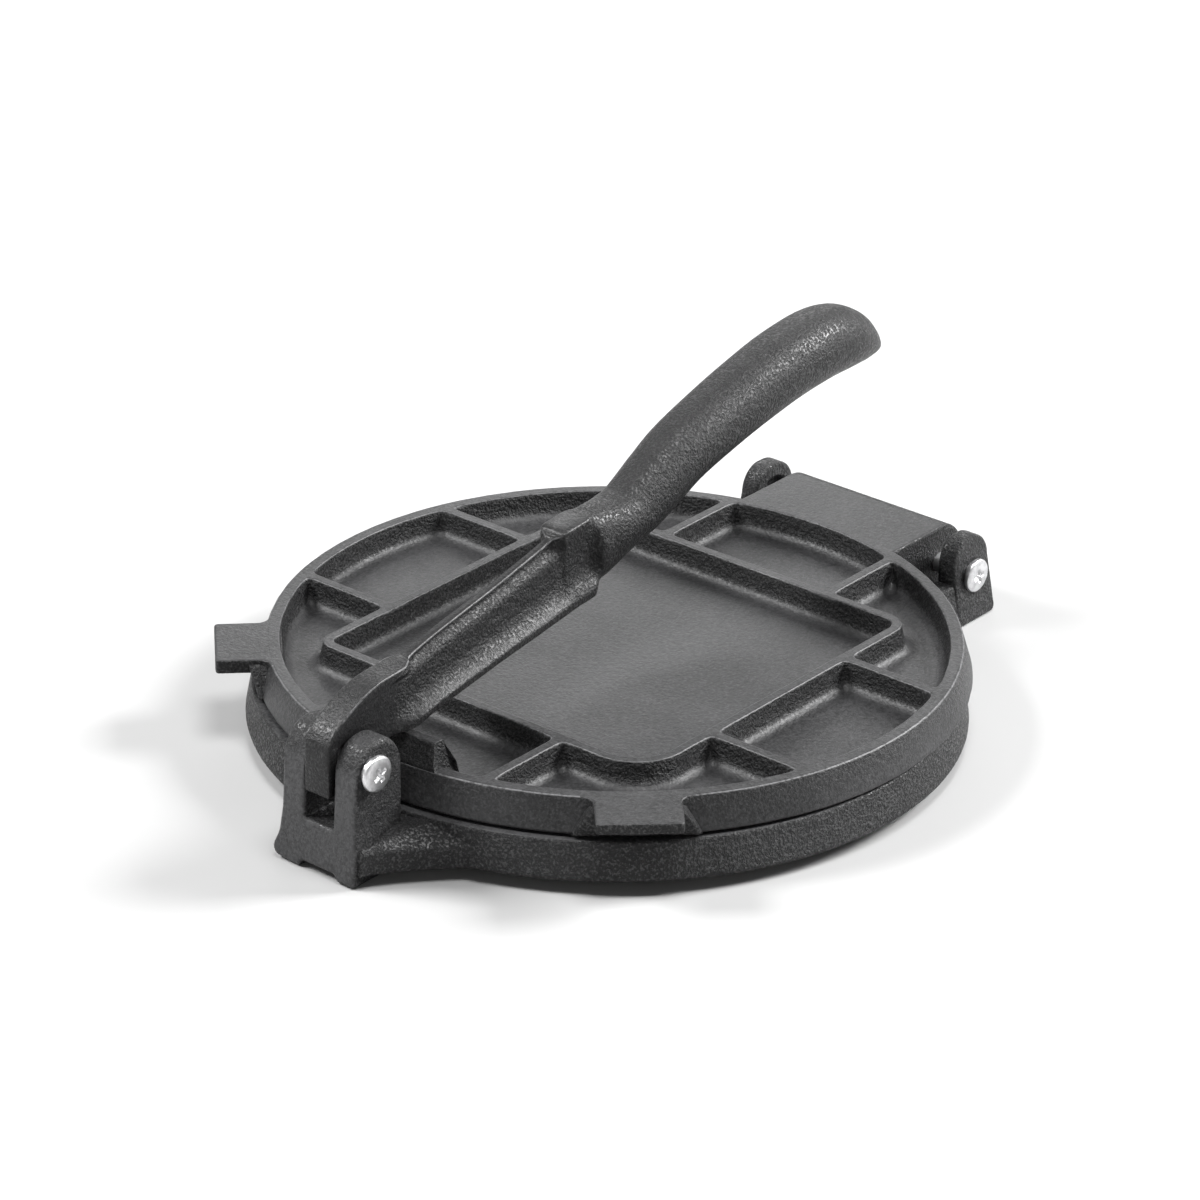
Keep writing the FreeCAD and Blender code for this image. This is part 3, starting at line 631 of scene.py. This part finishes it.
for side, name in ((1, "right"), (-1, "left")):
    plan = [(-tab_half - tab_spread, tab_root), (tab_half + tab_spread, tab_root),
            (tab_half, tab_neck), (tab_half, tab_reach), (-tab_half, tab_reach),
            (-tab_half, tab_neck)]
    rows = block(plan, (0.2, 0.2, 3.6, 1.2, 1.2, 3.6), lid_high - tab_thick[side],
                 lid_high - 0.02, 0.6)
    casting("tab_" + name, turn_about_lid(rows, side * tab_turns[side]), "lid",
            lid_iron, ground=mask(rows[..., 2], lid_high - 0.5, lid_high - 0.1))
    drop = np.linspace(0, 1, 12)[:, None]
    half = tab_half - gusset_inset + (gusset_half - tab_half + gusset_inset) * drop ** 0.75
    reach = gusset_top + (gusset_reach - gusset_top) * drop ** 0.6 - gusset_bow * half ** 2
    root = np.full_like(reach, gusset_root)
    x = np.concatenate([-half, half, half, -half], 1)
    y = np.concatenate([root, root, reach, reach], 1)
    outlines = np.stack([rounded(np.stack(pair, 1), (0.5, 0.5, 1.2, 1.2)) for pair in zip(x, y)])
    level = gusset_high - (gusset_high - gusset_low) * drop
    level = np.broadcast_to(level[..., None], outlines.shape[:2] + (1,))
    rows = np.concatenate([outlines, level], 2)
    casting("tab_gusset_" + name, turn_about_lid(rows, side * tab_turns[side]), "lid",
            lid_iron)

# The raised lug cast on the lid's rim, just behind the clevis. The handle bears on its crest when
# it is pushed down.
crest_half, crest_foot_half, crest_top = 14.6, 17.6, 32.4
crest_spread_below, crest_bow = 25, 0.9
crest_corners = [(-95.2, 22.0), (-95.2, 26.6), (-91.2, crest_top), (-87.7, crest_top),
                 (-86.2, 26.2), (-84.6, 20.0)]
rows = between_rows(block(crest_corners, (0.5, 0.8, 0.9, 0.9, 1.5, 0.5), -1, 1, 0.06), 14)
away, up, across = np.moveaxis(rows, -1, 0)
across = across * (crest_foot_half
                   - (crest_foot_half - crest_half) * mask(up, crest_spread_below, crest_top))
bow = crest_bow * (lid_top_radius - np.sqrt(lid_top_radius ** 2 - across ** 2))
crest_points = np.stack([across, away + bow + middle, up], -1)
casting("press_lug", crest_points, "lid", lid_iron,
        ground=0.8 * mask(up, crest_top - 0.6, crest_top))

# The hinge block, cast on the lid's rear: a thick slab, ground level with the rim, that ends in a
# barrel bored for the hinge screw.
barrel_half, barrel_radius = 28.5, 11.9
slab_low, slab_high, slab_root = 16.7, lid_high - 0.01, 96.3
slab_corners = [(0, slab_high), (hinge_y + barrel_radius, slab_high),
                (hinge_y + barrel_radius, hinge_z - barrel_radius),
                (hinge_y - barrel_radius, hinge_z - barrel_radius),
                (hinge_y - barrel_radius, slab_low), (0, slab_low)]
rows = block(slab_corners, (0.3, 11.2, 11.8, 10.0, 2.0, 0.3), -barrel_half, barrel_half, 0.9, 18)
away, up, across = np.moveaxis(between_rows(rows, 24), -1, 0)
root = lid_behind + np.sqrt(slab_root ** 2 - across ** 2)
away = np.where(away < hinge_y / 2, root + away, np.maximum(away, root + 1))
casting("hinge_block", np.stack([across, away + middle, up], -1), "lid",
        lid_iron, ground=0.9 * mask(up, lid_high - 0.4, lid_high - 0.05))

# The handle: one casting. A flat tongue turns in the clevis, the arm has a thin ridge above and a
# flange below, and past a flat at the knee it runs into a long round grip.
handle_spine = np.array([
    # bottom y, z, top y, z, half width low, half width high, slab, bell, knee
    (-121.1, 25.2, -121.1, 35.8, 3.2, 3.2, 1, 0, 0),
    (-120.9, 24.4, -120.9, 37.6, 4.0, 4.0, 1, 0, 0),
    (-120.3, 24.0, -120.1, 39.9, 4.3, 4.3, 1, 0, 0),
    (-117.5, 23.9, -118.0, 42.5, 4.3, 4.3, 1, 0, 0),
    (-114.0, 24.1, -115.0, 44.7, 4.3, 4.3, 1, 0, 0),
    (-110.0, 24.7, -111.0, 47.0, 4.3, 4.3, 1, 0, 0),
    (-106.5, 26.0, -107.0, 48.8, 4.2, 4.2, 1, 0, 0),
    (-103.0, 27.8, -102.5, 50.2, 4.1, 4.1, 1, 0, 0),
    (-99.5, 30.6, -98.0, 50.9, 4.0, 4.0, 1, 0, 0),
    (-96.5, 32.8, -94.5, 51.1, 4.2, 4.0, 0.9, 0.1, 0),
    (-94.0, 33.4, -92.0, 51.3, 5.4, 4.0, 0.6, 0.4, 0),
    (-91.5, 33.8, -89.5, 51.6, 6.8, 3.9, 0.3, 0.7, 0),
    (-89.0, 34.5, -87.4, 52.0, 7.7, 2.8, 0.1, 0.9, 0),
    (-86.5, 35.3, -85.2, 52.5, 8.0, 1.6, 0, 1, 0),
    (-80.0, 36.9, -77.5, 54.4, 8.0, 1.3, 0, 1, 0),
    (-70.0, 38.5, -67.0, 56.7, 8.0, 1.4, 0, 1, 0),
    (-56.0, 40.8, -52.0, 59.5, 8.0, 1.2, 0, 1, 0),
    (-42.0, 42.7, -38.0, 62.7, 8.0, 1.2, 0, 1, 0),
    (-33.0, 44.0, -30.0, 64.6, 8.0, 1.2, 0, 1, 0),
    (-27.5, 44.8, -26.8, 65.6, 8.0, 1.3, 0, 1, 0),
    (-25.6, 45.1, -25.9, 66.4, 8.0, 2.2, 0, 0.8, 0.2),
    (-24.0, 45.3, -24.9, 67.4, 8.0, 3.8, 0, 0.3, 0.7),
    (-21.5, 45.6, -23.0, 67.9, 8.0, 4.5, 0, 0, 1),
    (-18.5, 45.9, -19.5, 68.2, 8.1, 4.6, 0, 0, 1),
    (-15.5, 46.3, -15.6, 68.5, 8.2, 4.7, 0, 0, 0.97),
    (-13.8, 46.5, -13.6, 68.8, 8.3, 4.8, 0, 0, 0.7),
    (-12.3, 46.8, -12.0, 68.9, 8.4, 4.9, 0, 0, 0.3),
    (-10.5, 47.2, -10.2, 69.1, 8.4, 5.2, 0, 0, 0.12),
    (-6.5, 48.2, -7.5, 69.1, 8.5, 6.0, 0, 0, 0.12),
    (-0.5, 50.3, -4.0, 69.0, 8.7, 7.0, 0, 0, 0),
    (6.5, 53.0, 0.0, 69.2, 8.9, 8.9, 0, 0, 0),
    (14.0, 54.9, 5.0, 70.4, 9.1, 9.1, 0, 0, 0),
    (25.0, 59.9, 15.0, 75.9, 9.5, 9.5, 0, 0, 0),
    (34.6, 63.9, 26.9, 81.9, 9.8, 9.8, 0, 0, 0),
    (51.4, 68.4, 46.0, 87.9, 10.2, 10.2, 0, 0, 0),
    (65.0, 71.3, 61.0, 91.8, 10.5, 10.5, 0, 0, 0),
    (78.0, 73.5, 74.5, 94.7, 10.7, 10.7, 0, 0, 0),
    (92.0, 74.8, 90.5, 96.3, 10.8, 10.8, 0, 0, 0),
    (102.0, 74.9, 102.0, 95.0, 10.4, 10.4, 0, 0, 0),
    (110.0, 74.8, 110.3, 91.2, 8.9, 8.9, 0, 0, 0),
    (114.0, 75.0, 114.8, 87.0, 7.4, 7.4, 0, 0, 0),
    (117.0, 75.3, 117.6, 83.2, 5.9, 5.9, 0, 0, 0),
    (118.7, 75.8, 119.1, 81.0, 4.6, 4.6, 0, 0, 0),
    (119.4, 76.4, 119.6, 79.8, 3.4, 3.4, 0, 0, 0),
])
# share of the height, share of the half width, of the arm and of the knee
bell_shape = np.array([
    (0, 0.94), (0.02, 1.0), (0.11, 1.0), (0.14, 0.97), (0.19, 0.83), (0.25, 0.68), (0.31, 0.58),
    (0.40, 0.51), (0.60, 0.46), (0.76, 0.43), (0.82, 0.38), (0.88, 0.26), (0.93, 0.20),
    (0.985, 0.2), (1, 0.16)])
knee_shape = np.array([
    (0, 0.94), (0.02, 1.0), (0.11, 1.0), (0.14, 0.97), (0.19, 0.86), (0.25, 0.73), (0.31, 0.65),
    (0.40, 0.60), (0.60, 0.57), (0.97, 0.57), (0.99, 0.55), (1, 0.5)])


def smooth_rows(table, per_gap=7):
    """Rows between the table's rows, on a curve through them: in each gap the four rows round it
    are mixed by the cubic whose slope at a row is half the step from the one before to the one
    after."""
    padded = np.concatenate([2 * table[:1] - table[1:2], table, 2 * table[-1:] - table[-2:-1]])
    t = np.linspace(0, 1, per_gap, endpoint=False)[None, :, None]
    a, b, c, d = (padded[i:len(padded) - 3 + i, None] for i in range(4))
    rows = b + 0.5 * t * (c - a + t * (2 * a - 5 * b + 4 * c - d + t * (3 * (b - c) + d - a)))
    return np.concatenate([rows.reshape(-1, table.shape[1]), table[-1:]])


def handle_grid(across=22):
    """Half outlines from the underside to the top, each the other side's mirror. Its half width
    at a share v of the height is a mix of four shapes: the slab, the bell of the arm, the knee,
    and the oval of the grip, whose width is (1 - |2v - 1|^n)^(1/n)."""
    squareness, roundness, highlight_from, highlight_full = 22, 2.05, -117, -114
    rows = smooth_rows(handle_spine)
    low, high = rows[:, 0:2], rows[:, 2:4]
    wide, top, slab, bell, knee = rows[:, 4:].T[:, :, None]
    slab, bell, knee = np.clip([slab, bell, knee], 0, 1)
    v = (0.5 - 0.5 * np.cos(np.linspace(0, np.pi, across * 2)))[None]
    v = np.clip(v, 0.0005, 0.9995)
    flat = (1 - np.abs(2 * v - 1) ** squareness) ** (1 / squareness)
    oval = (1 - np.abs(2 * v - 1) ** roundness) ** (1 / roundness)
    ridge = np.interp(v, *bell_shape.T) * (1 + (top / (0.2 * wide) - 1) * mask(v, 0.8, 0.92))
    half = (slab * flat * (wide + (top - wide) * v) + bell * wide * ridge
            + knee * wide * np.interp(v, *knee_shape.T) + (1 - slab - bell - knee) * oval * wide)
    place = low[:, None] + (high - low)[:, None] * v[..., None]
    right = np.concatenate([half[..., None], place], 2)
    left = right[:, ::-1] * (-1, 1, 1)
    # Painted highlight: a pale streak of bare metal along the top edges of the tongue and the arm,
    # behind the tongue's front.
    behind_front = mask(high[:, :1], highlight_from, highlight_full)
    ridge_edge_highlight = mask(v, 0.955, 0.985) * mask(-v, -0.9992, -0.994) * behind_front
    # Painted highlight: a paler, smoother band on the fillet of the arm's flange.
    flange_highlight = mask(v, 0.1, 0.13) * mask(-v, -0.25, -0.19)
    # The handle's mark: smooth tongue, ridge top and knee pad, and the painted highlights.
    smooth_and_highlight = (0.5 * slab + 0.8 * mask(v, 0.95, 0.99) * (bell + knee)
              + 0.6 * flange_highlight * bell + 1.2 * ridge_edge_highlight * (slab + bell))
    return np.concatenate([right, left], 1), np.concatenate([smooth_and_highlight, smooth_and_highlight[:, ::-1]], 1)


handle_iron = sand_cast("handle_iron", 0.018, 0.0007, 0.75, 7, 0.38)
handle_points, handle_smooth_and_highlight = handle_grid()
casting("lever", handle_points + (0, middle, 0), "handle", handle_iron,
        ["handle"], ground=handle_smooth_and_highlight)

# The two screws: zinc-plated steel with pan heads and a cross recess. The short one carries the
# handle in the clevis, the long one carries the lid between the hinge lugs.
pivot_y, pivot_z = joint_places["handle_pivot"][1:]
shank_radius, shank_end, tail_gap = 3.0, -2.0, 0.02
recess_half, recess_reach, recess_depth = 0.45, 1.9, 1.1
head_shape = np.array([(0, 3.5), (1.5, 3.48), (2.6, 3.42), (3.7, 3.3), (4.5, 3.1), (4.95, 2.8),
                       (5.1, 2.4), (5.1, 1.7), (4.8, 1.45), (4.2, 1.35), (3.9, 1.1), (3.9, 0.0)])


def screw_grid(turns=96):
    """Head and shank turned about one line: the head's crown, drawn in by the recess, then its
    edge, its underside and the shank. The recess is as deep as the product of two smooth steps,
    one across an arm of the cross and one along it. Gives (along, first, second)."""
    crown = smooth_rows(head_shape, 5)
    rest = np.array([(shank_radius + 0.1, 0.0), (shank_radius, -0.1), (shank_radius, -1.0),
                     (shank_radius, shank_end)])
    profile = np.concatenate([crown, rest])
    angle = np.linspace(0, 2 * np.pi, turns, endpoint=False)[:, None]
    first, second = profile[:, 0] * np.cos(angle), profile[:, 0] * np.sin(angle)
    a, b = np.abs(first), np.abs(second)
    thin, far = np.minimum(a, b), np.maximum(a, b)
    sunk = (mask(-thin, -recess_half - 0.25, -recess_half)
            * mask(-far, -recess_reach - 0.4, -recess_reach))
    deep = recess_depth * (np.arange(len(profile)) < len(crown))
    along = profile[:, 1] - sunk * deep * (1 - 0.35 * far / recess_reach)
    return np.stack([along, first, second], -1)


def zinc(name):
    """Bright zinc plate: nearly white metal with fine brushing and a little dull bloom."""
    finish = Finish(name)
    bloom = finish.noise(2.2, 3, 0.6)
    fine = finish.noise(0.25, 2, 0.6)
    colour = finish.mix(bloom.above(0.35, 0.7), (0.78, 0.78, 0.79, 1), (0.55, 0.55, 0.56, 1))
    return finish.finish(colour, bloom * 0.2 + 0.26, fine, 0.000004, Metallic=1.0)


zinc_plate = zinc("zinc_plate")
for name, seat, y, z, turn in (("handle_pivot_screw", ear_out, pivot_y, pivot_z, 28),
                               ("hinge_screw", lug_outer, hinge_y, hinge_z, 12)):
    along, first, second = np.moveaxis(screw_grid(), -1, 0)
    along = seat + np.where(along <= shank_end, tail_gap - 2 * seat, along)
    spin = np.radians(turn)
    back = first * np.cos(spin) - second * np.sin(spin) + y + middle
    rise = first * np.sin(spin) + second * np.cos(spin) + z
    casting(name.replace("screw", "pan_screw"), np.stack([along, back, rise], -1), "base",
            zinc_plate, [name], wrap=(True, False), caps=False)
